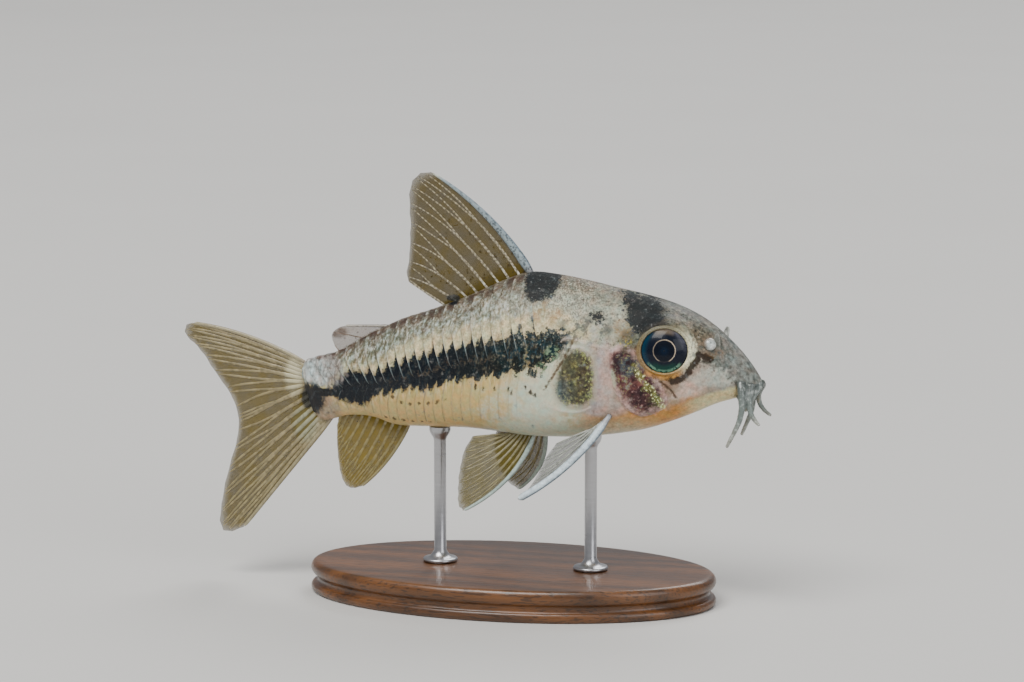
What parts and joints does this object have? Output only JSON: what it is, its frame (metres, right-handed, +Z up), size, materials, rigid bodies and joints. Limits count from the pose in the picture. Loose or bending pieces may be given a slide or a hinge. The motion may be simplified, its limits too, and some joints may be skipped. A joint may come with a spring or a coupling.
{
  "type": "corydoras catfish",
  "caption": "Still life-size model of a small armoured catfish swimming level with its fins spread, held over an oval wooden base by slim steel rods.",
  "frame": {"origin": "centre of the display stand's flat underside, under the middle of the fish", "axes": "+X towards the snout, +Y towards the fish's left side, +Z up"},
  "size_m": [0.0622, 0.024, 0.043],
  "materials": {
    "skin": "wet skin over bony plates, grey-beige above and cream below, with a dark band along the side",
    "fin": "thin clear membrane with pale silvery rays and dark specks",
    "eye": "clear wet cornea over a dark blue iris",
    "barbel": "soft wet skin, pale grey",
    "stand_wood": "dark stained hardwood, satin lacquer",
    "stand_steel": "brushed"
  },
  "bodies": {
    "root": {"head": "skin", "trunk": "skin", "tail": "skin", "gill_cover_left": "skin", "gill_cover_right": "skin", "nostril_flap_left": "skin", "nostril_flap_right": "skin", "eye_left": "eye", "eye_right": "eye", "barbel_chin_left": "barbel", "barbel_chin_right": "barbel", "barbel_front_left": "barbel", "barbel_front_right": "barbel", "barbel_rear_left": "barbel", "barbel_rear_right": "barbel", "dorsal_fin": "fin", "adipose_fin": "fin", "anal_fin": "fin", "tail_fin_upper": "fin", "tail_fin_lower": "fin", "pectoral_fin_left": "fin", "pectoral_fin_right": "fin", "pelvic_fin_left": "fin", "pelvic_fin_right": "fin", "stand_base": "stand_wood", "stand_rod_front": "stand_steel", "stand_rod_rear": "stand_steel"}
  },
  "joints": []
}
